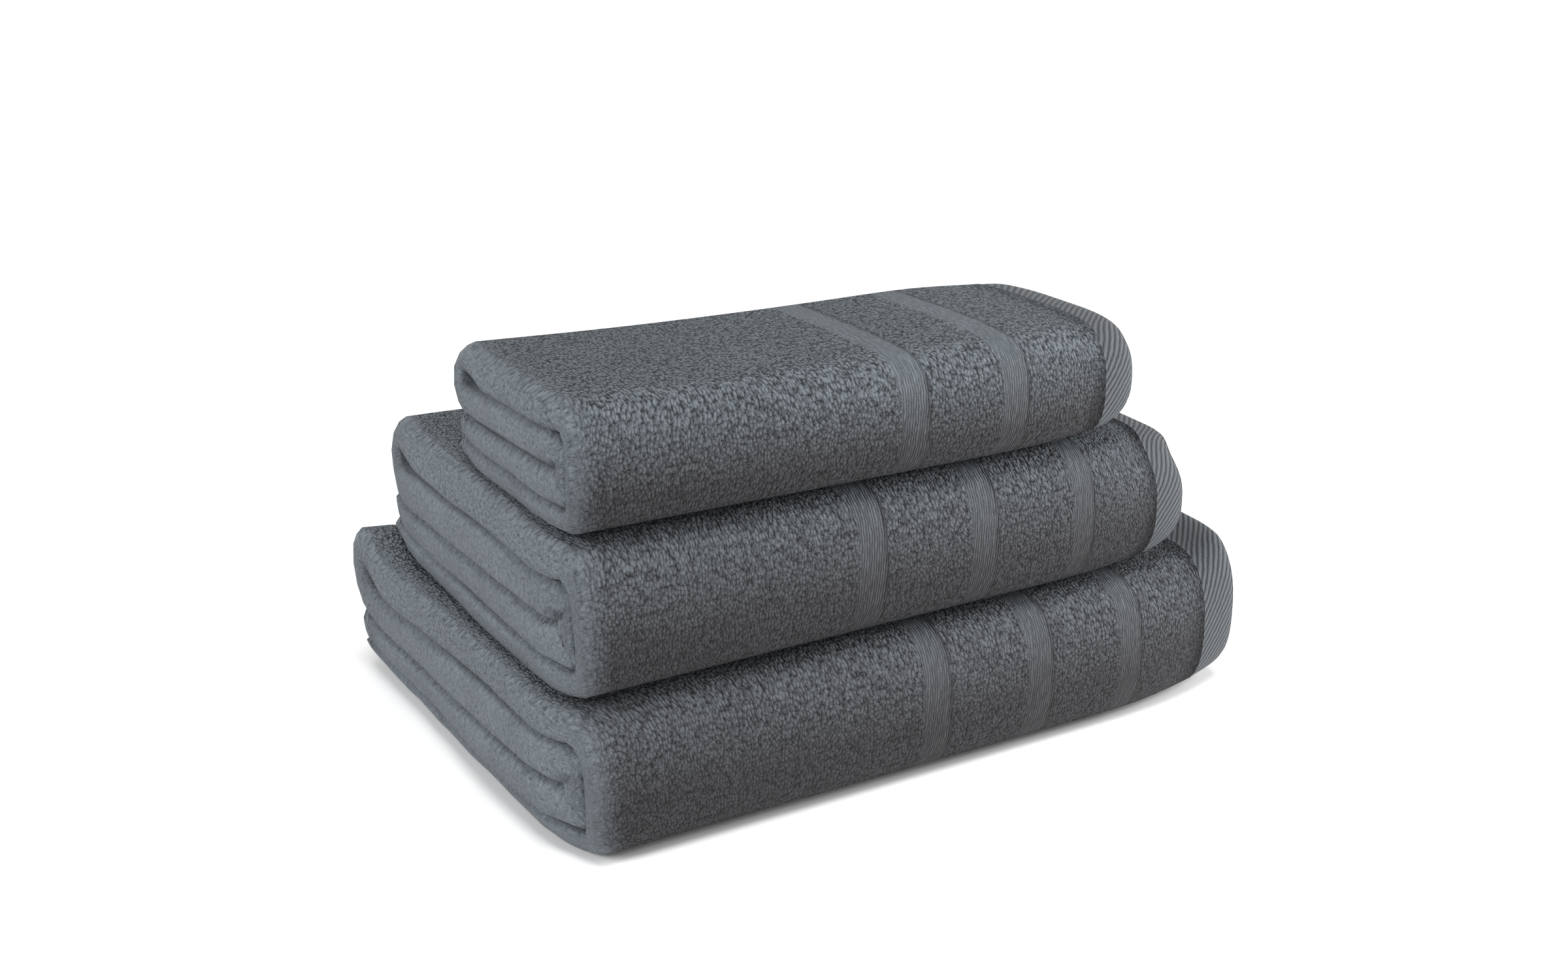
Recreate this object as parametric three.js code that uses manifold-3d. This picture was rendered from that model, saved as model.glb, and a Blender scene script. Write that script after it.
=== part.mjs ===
// A bath towel set: three folded terry towels lying in a stack, in millimetres, +Z up.
// Every towel is one woven cloth. It is folded lengthwise into a bundle of layers, and the bundle is then
// folded in half across its width twice. The last fold is the round nose at the front (-Y), the first
// is the hollow loop at the back (+Y), and the outer end hem lies at the right end (+X). The inner end
// hem lies there too on the two bath towels, and inside the left end of the hand towel's three layers.
// The origin is on the floor under the middle of the stack.
import * as THREE from 'three';
import { mergeVertices } from 'three/addons/utils/BufferGeometryUtils.js';
import Module from 'manifold-3d';

const wasm = await Module();
wasm.setup();

// Driving dimensions. width and length are the flat cloth's, layers is how often it lies on itself
// lengthwise, and cloth is what one of those layers takes up in the stack. hollow is the height of the
// opening that a fold leaves inside it. bands holds how far each flat woven band ends from the hem's edge.
const TOWELS = [
  {
    name: 'bath_sheet', width: 1000, length: 1500, layers: 4, cloth: 4.1, hollow: 8.4,
    left: 0, front: 0, bands: [75, 131, 190],
  },
  {
    name: 'bath_towel', width: 900, length: 1400, layers: 4, cloth: 4.0, hollow: 8,
    left: 2, front: 2, bands: [79, 139, 200],
  },
  {
    name: 'hand_towel', width: 500, length: 900, layers: 3, cloth: 4.25, hollow: 6.5,
    left: 6, front: 6, bands: [77, 132],
  },
];

const CLEARANCE = 0.3; // between pieces that touch
const NOSE_BLUNTNESS = 0.78; // depth of a fold's round over half its height
const INNER_FOLD_SETBACK = 3; // from the inside of the nose to the fold in it
const INNER_EDGE_SETBACK = 8; // of the inner long edge behind the outer one
const BAND_WIDTH = 17;
const BAND_RECESS = 1.2; // a flat woven band lies this far below the pile
const END_HEM_WIDTH = 26;
const HEM_THICKNESS = 2.4; // two turns of flat weave
const HEM_RECESS = 0.4; // of the hem and its thread below the pile
const SIDE_HEM_WIDTH = 9;
const THREAD = 0.8;
const CORE_SETBACK = 2; // of the inner layers' ends behind the outer hem's edge
const ROUNDING = 0.42; // of a bundle's end, as a share of its thickness
const FOLD_STEPS = 8;
const ROUNDING_STEPS = 3;
const STACK_GAP = 0.3;
const CLOTH_COLOUR = 0x6c7175;
const HEM_COLOUR = 0x74797d;
const THREAD_COLOUR = 0x5c6165;

const MATERIALS = {
  cloth: new THREE.MeshStandardMaterial({ color: CLOTH_COLOUR, roughness: 1, metalness: 0 }),
  hem: new THREE.MeshStandardMaterial({ color: HEM_COLOUR, roughness: 0.9, metalness: 0 }),
  thread: new THREE.MeshStandardMaterial({ color: THREAD_COLOUR, roughness: 0.6, metalness: 0 }),
};

// Half an ellipse from one panel's end to the next one's, bulging to the front or the back.
function fold(y, from, to, depth, clockwise) {
  const start = from > to ? Math.PI / 2 : -Math.PI / 2;
  const end = clockwise ? start - Math.PI : start + Math.PI;
  return new THREE.EllipseCurve(y, (from + to) / 2, depth, Math.abs(from - to) / 2, start, end, clockwise);
}

function line(fromY, fromZ, toY, toZ) {
  return new THREE.LineCurve(new THREE.Vector2(fromY, fromZ), new THREE.Vector2(toY, toZ));
}

// The middle of the folded bundle in the plane across the towel, x being depth and y height. Its four
// panels are the bottom one, the top one, the sloping one below that and the one above the bottom. Only
// the panels' lengths depend on the depth, so the depth is found from the cloth's width.
function bundlePath(towel, depth) {
  const bundle = towel.layers * towel.cloth;
  const bottom = bundle / 2;
  const above = bottom + bundle;
  const slopeBack = above + bundle + CLEARANCE;
  const slopeFront = above + bundle + towel.hollow;
  const top = slopeFront + bundle;
  const noseDepth = (NOSE_BLUNTNESS * (top - bottom)) / 2;
  const innerDepth = (slopeFront - above) / 2;
  const loopDepth = (top - slopeBack) / 2;
  const nose = bundle / 2 + noseDepth;
  const inner = 1.5 * bundle + innerDepth + INNER_FOLD_SETBACK;
  const loop = depth - loopDepth - bundle / 2;
  return [
    line(depth, bottom, nose, bottom),
    fold(nose, bottom, top, noseDepth, true),
    line(nose, top, loop, top),
    fold(loop, top, slopeBack, loopDepth, true),
    line(loop, slopeBack, inner, slopeFront),
    fold(inner, slopeFront, above, innerDepth, false),
    line(inner, above, depth - INNER_EDGE_SETBACK, above),
  ];
}

// The depth at which the path is as long as the cloth is wide.
function foldedDepth(towel) {
  const guess = towel.width / 4;
  const length = bundlePath(towel, guess).reduce((sum, curve) => sum + curve.getLength(), 0);
  return guess + (towel.width - length) / 4;
}

// The length of the stacked bundle, with half a turn of cloth at each place where it folds.
function foldedLength(towel) {
  const turns = Math.PI * towel.cloth * (towel.layers / 2 + towel.layers / 4 - 1);
  return (towel.length - turns) / towel.layers + (towel.layers / 2 + 1) * towel.cloth;
}

// Cuts a length of cloth off each end of the path, where the side hems are.
function withoutEnds(path, cut) {
  const shorter = [...path];
  const outer = path.at(0);
  const inner = path.at(-1);
  shorter[0] = line(outer.v1.x - cut, outer.v1.y, outer.v2.x, outer.v2.y);
  shorter[path.length - 1] = line(inner.v1.x, inner.v1.y, inner.v2.x - cut, inner.v2.y);
  return shorter;
}

// Points along the path, each with the direction that points out of the folded towel at the nose.
function stations(path) {
  const found = [];
  path.forEach((curve) => {
    const steps = curve.isLineCurve ? 1 : FOLD_STEPS;
    for (let i = 0; i <= steps; i += 1) {
      const point = curve.getPoint(i / steps);
      const tangent = curve.getTangent(i / steps);
      const normal = new THREE.Vector2(-tangent.y, tangent.x);
      const previous = found[found.length - 1];
      if (i === 0 && previous) {
        previous.normal.add(normal).normalize();
      } else {
        found.push({ point, normal });
      }
    }
  });
  return found;
}

// The outline of the cloth that lies between two distances from the path.
function strip(path, low, high) {
  const along = stations(path);
  const side = (offset) => along.map(({ point, normal }) => point.clone().addScaledVector(normal, offset));
  return new THREE.Shape([...side(low), ...side(high).reverse()]);
}

// A strip of cloth from one x to another, with its ends rounded by the given amount. The shape's own
// x, y and the way it is extruded are the towel's y, z and x.
function extrude(shape, from, to, rounding = 0) {
  const geometry = new THREE.ExtrudeGeometry(shape, {
    depth: to - from - 2 * rounding,
    steps: 1,
    bevelEnabled: rounding > 0,
    bevelThickness: rounding,
    bevelSize: rounding,
    bevelOffset: -rounding,
    bevelSegments: ROUNDING_STEPS,
  });
  return geometry.translate(0, 0, from + rounding);
}

function solid(geometry) {
  geometry.deleteAttribute('normal');
  geometry.deleteAttribute('uv');
  const merged = mergeVertices(geometry);
  const mesh = new wasm.Mesh({
    numProp: 3,
    vertProperties: new Float32Array(merged.attributes.position.array),
    triVerts: new Uint32Array(merged.index.array),
  });
  return new wasm.Manifold(mesh);
}

function geometryOf(manifold) {
  const mesh = manifold.getMesh();
  const geometry = new THREE.BufferGeometry();
  geometry.setAttribute('position', new THREE.BufferAttribute(mesh.vertProperties, 3));
  geometry.setIndex(new THREE.BufferAttribute(mesh.triVerts, 1));
  geometry.computeVertexNormals();
  return geometry;
}

// Where an end hem lies: from one x to another, the thread row's x, and the strip between two offsets. The
// outer end is the outermost layer's. With an even number of layers the inner end is just under it at the
// right, and with an odd number it is tucked into the middle of the bundle at the left.
function endHemPlace(towel, bundle, end, inner) {
  const tucked = inner && towel.layers % 2 === 1;
  const high = tucked
    ? HEM_THICKNESS / 2
    : bundle / 2 - HEM_RECESS - (inner ? HEM_THICKNESS + CLEARANCE : 0);
  const reach = END_HEM_WIDTH - THREAD - 2 * CLEARANCE;
  const from = tucked ? ROUNDING * bundle : end - reach;
  const to = tucked ? from + reach : end - (inner ? CORE_SETBACK : 0);
  const thread = tucked ? to + CLEARANCE : from - CLEARANCE - THREAD;
  return { tucked, from, to, thread, low: high - HEM_THICKNESS, high };
}

// The pile cloth: the whole bundle up to the hems, the bundle without its two outer layers' ends beside
// them, a shallow recess all along the outside for each flat woven band, and room for a tucked-in hem.
function pileCloth(path, bundle, end, innerHem) {
  const inside = -bundle / 2 + CLEARANCE;
  const outside = bundle / 2;
  const shoulder = end - END_HEM_WIDTH;
  const hems = innerHem.tucked ? 1 : 2;
  const core = outside - hems * (HEM_THICKNESS + CLEARANCE) - HEM_RECESS;
  const rounding = ROUNDING * bundle;
  const coreRounding = ROUNDING * (core - inside);
  const far = end + 3 * rounding;
  const whole = solid(extrude(strip(path.cloth, inside, outside), 0, far, rounding));
  const beyond = solid(new THREE.BoxGeometry(4 * path.depth, 4 * path.depth, 2 * (far - shoulder))
    .translate(0, 0, far));
  const ends = extrude(strip(path.cloth, inside, core), shoulder - bundle, end - CORE_SETBACK, coreRounding);
  const cuts = path.bandEnds.map((bandEnd) => {
    const recess = strip(path.cloth, outside - BAND_RECESS, outside + CLEARANCE / 3);
    return extrude(recess, end - bandEnd - BAND_WIDTH, end - bandEnd);
  });
  if (innerHem.tucked) {
    const slot = strip(path.slot, innerHem.low - CLEARANCE, innerHem.high + CLEARANCE);
    cuts.push(extrude(slot, innerHem.from - CLEARANCE, innerHem.thread + THREAD + CLEARANCE));
  }
  return cuts.reduce((cloth, cut) => cloth.subtract(solid(cut)), whole.subtract(beyond).add(solid(ends)));
}

function addMesh(group, name, geometry, material) {
  const mesh = new THREE.Mesh(geometry, material.clone());
  mesh.name = name;
  group.add(mesh);
}

// The doubled strip at an end of the cloth and the row of thread that closes it.
function addEndHem(group, name, path, hem) {
  const shape = strip(path.cloth, hem.low, hem.high);
  addMesh(group, `${name}_hem`, extrude(shape, hem.from, hem.to), MATERIALS.hem);
  addMesh(group, `${name}_hem_thread`, extrude(shape, hem.thread, hem.thread + THREAD), MATERIALS.thread);
}

// The turned and sewn long edge, in all its layers, at the end of the path that is given.
function addSideHem(group, name, edge, bundle, end) {
  const path = [line(edge.x, edge.y, edge.x - SIDE_HEM_WIDTH, edge.y)];
  const half = bundle / 2 - CLEARANCE;
  const geometry = extrude(strip(path, -half, half), 0, end - CORE_SETBACK, ROUNDING * SIDE_HEM_WIDTH);
  addMesh(group, `${name}_side_hem`, geometry, MATERIALS.hem);
}

function makeTowel(towel, height) {
  const bundle = towel.layers * towel.cloth;
  const depth = foldedDepth(towel);
  const end = foldedLength(towel);
  const whole = bundlePath(towel, depth);
  const path = {
    depth,
    bandEnds: towel.bands,
    cloth: withoutEnds(whole, SIDE_HEM_WIDTH + CLEARANCE),
    slot: withoutEnds(whole, SIDE_HEM_WIDTH),
  };
  const outerHem = endHemPlace(towel, bundle, end, false);
  const innerHem = endHemPlace(towel, bundle, end, true);
  const group = new THREE.Group();
  group.position.set(towel.left, towel.front, height);
  // Turns the plane of the path upright: its x becomes y, its y becomes z, and lengths run along x.
  group.quaternion.setFromAxisAngle(new THREE.Vector3(1, 1, 1).normalize(), (2 * Math.PI) / 3);
  const cloth = geometryOf(pileCloth(path, bundle, end, innerHem));
  addMesh(group, `${towel.name}_pile_cloth`, cloth, MATERIALS.cloth);
  addEndHem(group, `${towel.name}_outer_end`, path, outerHem);
  addEndHem(group, `${towel.name}_inner_end`, path, innerHem);
  addSideHem(group, `${towel.name}_outer`, whole.at(0).v1, bundle, end);
  addSideHem(group, `${towel.name}_inner`, whole.at(-1).v2, bundle, end);
  return group;
}

const foldedHeight = (towel) => 4 * towel.layers * towel.cloth + towel.hollow;

const stack = new THREE.Group();
stack.position.set(-foldedLength(TOWELS[0]) / 2, -foldedDepth(TOWELS[0]) / 2, 0);
let height = 0;
TOWELS.forEach((towel) => {
  stack.add(makeTowel(towel, height));
  height += foldedHeight(towel) + STACK_GAP;
});

const set = new THREE.Group();
set.name = 'bath_towel_set';
set.add(stack);
export default set;
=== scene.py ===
"""The looks of the bath towel set: three folded terry towels in a stack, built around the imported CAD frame.

Each towel is one cloth of its real flat size. u runs along its length from the outer end hem and v across
its width from the outer side hem, both in metres. The cloth is folded twice over: lengthwise into a bundle
of layers, which is a path in the plane of x and the height in the bundle, and then across its width, which
is a path in the plane of y and z that the whole bundle follows. Every piece of a towel, from the pile to the
stitches, is placed through the same two folds.
"""

import math

import bpy
import numpy as np
from mathutils import Matrix, Vector


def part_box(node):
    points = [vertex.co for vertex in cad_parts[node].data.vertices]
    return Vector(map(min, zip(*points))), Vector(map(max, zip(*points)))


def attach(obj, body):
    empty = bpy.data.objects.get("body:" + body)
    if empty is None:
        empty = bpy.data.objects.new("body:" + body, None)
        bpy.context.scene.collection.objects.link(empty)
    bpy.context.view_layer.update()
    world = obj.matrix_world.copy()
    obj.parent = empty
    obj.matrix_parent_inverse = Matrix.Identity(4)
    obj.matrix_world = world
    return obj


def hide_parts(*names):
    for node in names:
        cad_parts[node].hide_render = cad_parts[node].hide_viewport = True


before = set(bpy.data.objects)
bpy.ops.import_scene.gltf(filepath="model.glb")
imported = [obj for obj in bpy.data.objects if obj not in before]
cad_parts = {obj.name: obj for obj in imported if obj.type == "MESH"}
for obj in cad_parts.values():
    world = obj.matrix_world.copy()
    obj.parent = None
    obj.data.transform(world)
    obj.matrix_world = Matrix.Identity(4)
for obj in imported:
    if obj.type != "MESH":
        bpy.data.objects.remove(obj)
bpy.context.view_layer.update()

MM = 0.001

# Each towel's name, flat width and length, layers lengthwise, height of the opening in its folds, and how far
# in from the outer end each of its flat woven bands begins.
TOWELS = (
    ("bath_sheet", (1.0, 1.5), 4, 8.4 * MM, (75 * MM, 131 * MM, 190 * MM)),
    ("bath_towel", (0.9, 1.4), 4, 8.0 * MM, (79 * MM, 139 * MM, 200 * MM)),
    ("hand_towel", (0.5, 0.9), 3, 6.5 * MM, (77 * MM, 132 * MM)),
)
BAND_WIDTH = 17 * MM
BAND_DEPTH = 2.1 * MM
# How wide the swell of the pile along a band's outer edge is.
BAND_SOFT = 7 * MM

END_HEM = 26 * MM
SIDE_HEM = 9 * MM
# Half the thickness of the doubled hems, and how wide their rounded edges are.
HEM_HALF = 1.5 * MM
SIDE_HEM_HALF = 1.75 * MM
HEM_EDGE = 2.4 * MM
# How far the pile cloth reaches under its side hems.
HEM_LAP = 1 * MM
# The length of a stitch, the thickness of its thread, and how far from the cloth's end the row of them runs.
STITCH = 3.0 * MM
THREAD = 0.55 * MM
THREAD_SIDES = 6
SEAM = 24.6 * MM

# How far each side of a layer of cloth stays clear of the next layer.
LAYER_GAP = 0.1 * MM
# The turns of the folds: how deep each is for its half height, and the power of its superellipse. ROUND is an
# ellipse, and more is squarer. The nose is the front fold, the inner fold lies behind it between the sloping
# panel and the one below, and the ends are the turns at the left and right of the lengthwise fold.
ROUND = 2
NOSE_BLUNTNESS = 0.56
NOSE_SQUARENESS = 2.7
INNER_BLUNTNESS = 0.4
INNER_SQUARENESS = 4
END_BLUNTNESS = 0.22
END_SQUARENESS = 5.5
# How far over a path's corners are rounded: the bundle's, and the cloth's inside the bundle.
BUNDLE_ROUNDING = 2.5 * MM
CLOTH_ROUNDING = 0.6 * MM
# How far from the front the inner fold is, in thicknesses of the bundle, and how far from the back the inner
# long edge ends.
INNER_FOLD_AT = 0.62
INNER_EDGE_SETBACK = 8 * MM
# How much of its thickness the bundle loses going round its nose and round its inner fold.
SQUEEZE = 0.5
INNER_SQUEEZE = 0.6
# How far the right-hand turn of the inner layers stays in behind the outer hem.
HEM_STAGGER = 2 * MM

# The unevenness of the pile, as (height, length, width) of its bumps, and how far its bands wander.
CLUMPS = ((0.45 * MM, 2.6 * MM, 4.2 * MM), (0.40 * MM, 6.5 * MM, 9.5 * MM))
PITS = (0.8 * MM, 4.5 * MM, 8 * MM)
SWELLS = ((0.5 * MM, 20 * MM, 30 * MM), (0.8 * MM, 55 * MM, 80 * MM))
WANDER = ((0.8 * MM, 40 * MM, 22 * MM),)
# The same for the edges of the folded layers, whose heights are shares of FOLD_WAVES.
FOLD_WAVES = 1.6 * MM
LAYER_WAVES = ((1, 60 * MM, 65 * MM), (0.35, 60 * MM, 22 * MM))

# How far in the slack reaches: of both ends, of the back loop from the left, of the corners from front and
# back, and of the rim and the puffed end from the right.
END_SLACK = 110 * MM
LOOP_SLACK = 80 * MM
CORNER = 45 * MM
RIM = 30 * MM
END_PUFF = 32 * MM
# How far from its turn the back loop stays open.
LOOP_HOLE = 9 * MM
# How far the front edge of the top rounds down, and the back corner at the right draws in, in millimetres.
CROWN = 4
RIGHT_BACK = 6
# How each towel's slack shapes it, in millimetres. The rims of its ends above and below draw back, and so do
# its corners at the front and back. A skewed end stands out that much further at the back. The nose falls
# back along its length and at its end, the right end sinks above and lifts below, the back loop at the left
# and the end that nothing lies on stand up, and the top sags between them.
SLACK_NAMES = (
    "left_top left_bottom left_front left_back left_skew right_edge right_front right_skew "
    "fall fall_end droop_right lift_right loop_lift end_puff rim sag"
).split()
SLACK = {
    "bath_sheet": dict(zip(SLACK_NAMES, (1, 14, 12, 0, 10, 0, 7, 4, 4, 8, 0, 3, 14, 9, 6, 0))),
    "bath_towel": dict(zip(SLACK_NAMES, (6, 6, 9, 5, 0, 6, 16, 0, 10, 6, 9, 1, 2, 0, 8, 0))),
    "hand_towel": dict(zip(SLACK_NAMES, (6, 5, 5, 4, 0, 0, 5, 4, 2, 8, 6, 1, 0, 3, 12, 3))),
}

# Spacing of the mesh lines, and of the points that a path is kept as.
FINE = 1.2 * MM
MEDIUM = 2.5 * MM
COARSE = 14 * MM
SAMPLE = 0.25 * MM


# ---------------------------------------------------------------- the two folds


def half_round(centre, radius, depth, start, turn, squareness):
    """Points of half a superellipse in a plane: from straight above or below the centre, round its side."""
    angle = start + turn * np.linspace(0, math.pi, 240)
    across, up = np.cos(angle), np.sin(angle)
    power = 2 / squareness
    return np.stack(
        [
            centre[0] + depth * np.sign(across) * np.abs(across) ** power,
            centre[1] + radius * np.sign(up) * np.abs(up) ** power,
        ],
        axis=1,
    )


def smoothed(points, width):
    """A path resampled evenly by length, with its corners rounded over about that width."""
    step = np.hypot(*np.diff(points, axis=0).T)
    along = np.concatenate([[0], np.cumsum(step)])
    even = np.arange(0, along[-1], SAMPLE)
    path = np.stack([np.interp(even, along, points[:, k]) for k in range(2)], axis=1)
    reach = int(3 * width / SAMPLE)
    if reach:
        weight = np.exp(-0.5 * (np.arange(-reach, reach + 1) * SAMPLE / width) ** 2)
        first = path[0] - np.arange(reach, 0, -1)[:, None] * (path[1] - path[0])
        last = path[-1] + np.arange(1, reach + 1)[:, None] * (path[-1] - path[-2])
        padded = np.concatenate([first, path, last])
        weight /= weight.sum()
        path = np.stack([np.convolve(padded[:, k], weight, "valid") for k in range(2)], axis=1)
    return path


class Path:
    """A path in a plane by its length, with the direction to its left at each point."""

    def __init__(self, points, width, length):
        path = smoothed(points, width)
        step = np.hypot(*np.diff(path, axis=0).T)
        self.along = np.concatenate([[0], np.cumsum(step)])
        self.scale = length / self.along[-1]
        self.along *= self.scale
        tangent = np.gradient(path, axis=0)
        tangent /= np.linalg.norm(tangent, axis=1)[:, None]
        self.path = path
        self.left = np.stack([-tangent[:, 1], tangent[:, 0]], axis=1)
        self.length = self.along[-1]

    def at(self, s):
        """The point at a length along the path, and the direction to its left there."""
        point = [np.interp(s, self.along, self.path[:, k]) for k in range(2)]
        left = np.stack([np.interp(s, self.along, self.left[:, k]) for k in range(2)], axis=-1)
        left /= np.linalg.norm(left, axis=-1)[..., None]
        return point[0], point[1], left[..., 0], left[..., 1]


def width_path(towel):
    """The path of the bundle in y and z: bottom panel, nose, top panel, back loop, sloping panel, inner fold
    and the panel above the bottom. The panels' ends along it go into turns_v."""
    bundle, depth = towel.bundle, towel.depth
    bottom = bundle / 2
    above = bottom + bundle
    slope_back = above + bundle
    slope_front = above + bundle + towel.hollow
    top = slope_front + bundle
    nose_depth = NOSE_BLUNTNESS * (top - bottom) / 2
    inner_depth = INNER_BLUNTNESS * (slope_front - above) / 2
    loop_depth = (top - slope_back) / 2
    nose = bundle / 2 + nose_depth
    inner = INNER_FOLD_AT * bundle + inner_depth
    loop = depth - loop_depth - bundle / 2
    quarter = math.pi / 2
    centre, radius = (nose, (top + bottom) / 2), (top - bottom) / 2
    round_nose = half_round(centre, radius, nose_depth, -quarter, -1, NOSE_SQUARENESS)
    centre, radius = (loop, (top + slope_back) / 2), (top - slope_back) / 2
    round_loop = half_round(centre, radius, loop_depth, quarter, -1, ROUND)
    centre, radius = (inner, (slope_front + above) / 2), (slope_front - above) / 2
    round_inner = half_round(centre, radius, inner_depth, quarter, 1, INNER_SQUARENESS)
    first, last = [[depth, bottom]], [[depth - INNER_EDGE_SETBACK, above]]
    points = np.concatenate([first, round_nose, round_loop, round_inner, last])
    path = Path(points, BUNDLE_ROUNDING, towel.flat[0])
    lengths = (depth - nose, path_length(round_nose), loop - nose, path_length(round_loop))
    lengths += (loop - inner, path_length(round_inner))
    names = ("nose", "top", "loop", "slope", "inner", "last")
    towel.turns_v = dict(zip(names, np.cumsum(lengths) * path.scale))
    return path


def path_length(points):
    """The length of the line through some points."""
    return np.hypot(*np.diff(points, axis=0).T).sum()


def length_path(towel):
    """The path of the cloth in x and the height in the bundle, outermost layer first and from the right.
    Where each turn starts and ends along it goes into turns_u."""
    t = towel.cloth
    order = (1.5, -1.5, -0.5, 0.5) if towel.layers == 4 else (1, -1, 0)
    left = towel.x0 + END_BLUNTNESS * towel.bundle / 2
    right = towel.x1 - HEM_STAGGER - t
    points = [np.array([[towel.x1, order[0] * t]])]
    turns = []
    for i, (here, there) in enumerate(zip(order, order[1:])):
        at_left = i % 2 == 0
        radius = abs(there - here) * t / 2
        centre = (left if at_left else right, (here + there) * t / 2)
        start = math.pi / 2 if here > there else -math.pi / 2
        turn = 1 if (here > there) == at_left else -1
        squareness = END_SQUARENESS if at_left else ROUND
        points.append(half_round(centre, radius, END_BLUNTNESS * radius, start, turn, squareness))
        before = path_length(np.concatenate(points[:-1] + [points[-1][:1]]))
        turns.append((before, before + path_length(points[-1])))
    used = path_length(np.concatenate(points))
    way = 1 if len(order) % 2 == 0 else -1
    last = points[-1][-1]
    points.append(np.array([[last[0] + way * (towel.flat[1] - used), last[1]]]))
    towel.turns_u = turns
    return Path(np.concatenate(points), CLOTH_ROUNDING, towel.flat[1])


# ---------------------------------------------------------------- relief of the cloth


def lattice(rng, u, v, cell_u, cell_v):
    """Smooth noise from -1 to 1 with about one bump per cell of the given length and width."""
    shape = (int(1.6 / cell_u) + 3, int(1.1 / cell_v) + 3)
    values = rng.uniform(-1, 1, shape)
    i, j = u / cell_u, v / cell_v
    a, b = np.floor(i).astype(int), np.floor(j).astype(int)
    s, t = i - a, j - b
    s, t = s * s * (3 - 2 * s), t * t * (3 - 2 * t)
    return (
        values[a, b] * (1 - s) * (1 - t)
        + values[a + 1, b] * s * (1 - t)
        + values[a, b + 1] * (1 - s) * t
        + values[a + 1, b + 1] * s * t
    )


def bumps(rng, u, v, kinds):
    """The sum of smooth noises of the given heights, lengths and widths."""
    return sum(height * lattice(rng, u, v, length, width) for height, length, width in kinds)


def ramp(x, low, high):
    """0 below low, 1 above high and smooth between them."""
    t = np.clip((x - low) / (high - low), 0, 1)
    return t * t * (3 - 2 * t)


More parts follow.
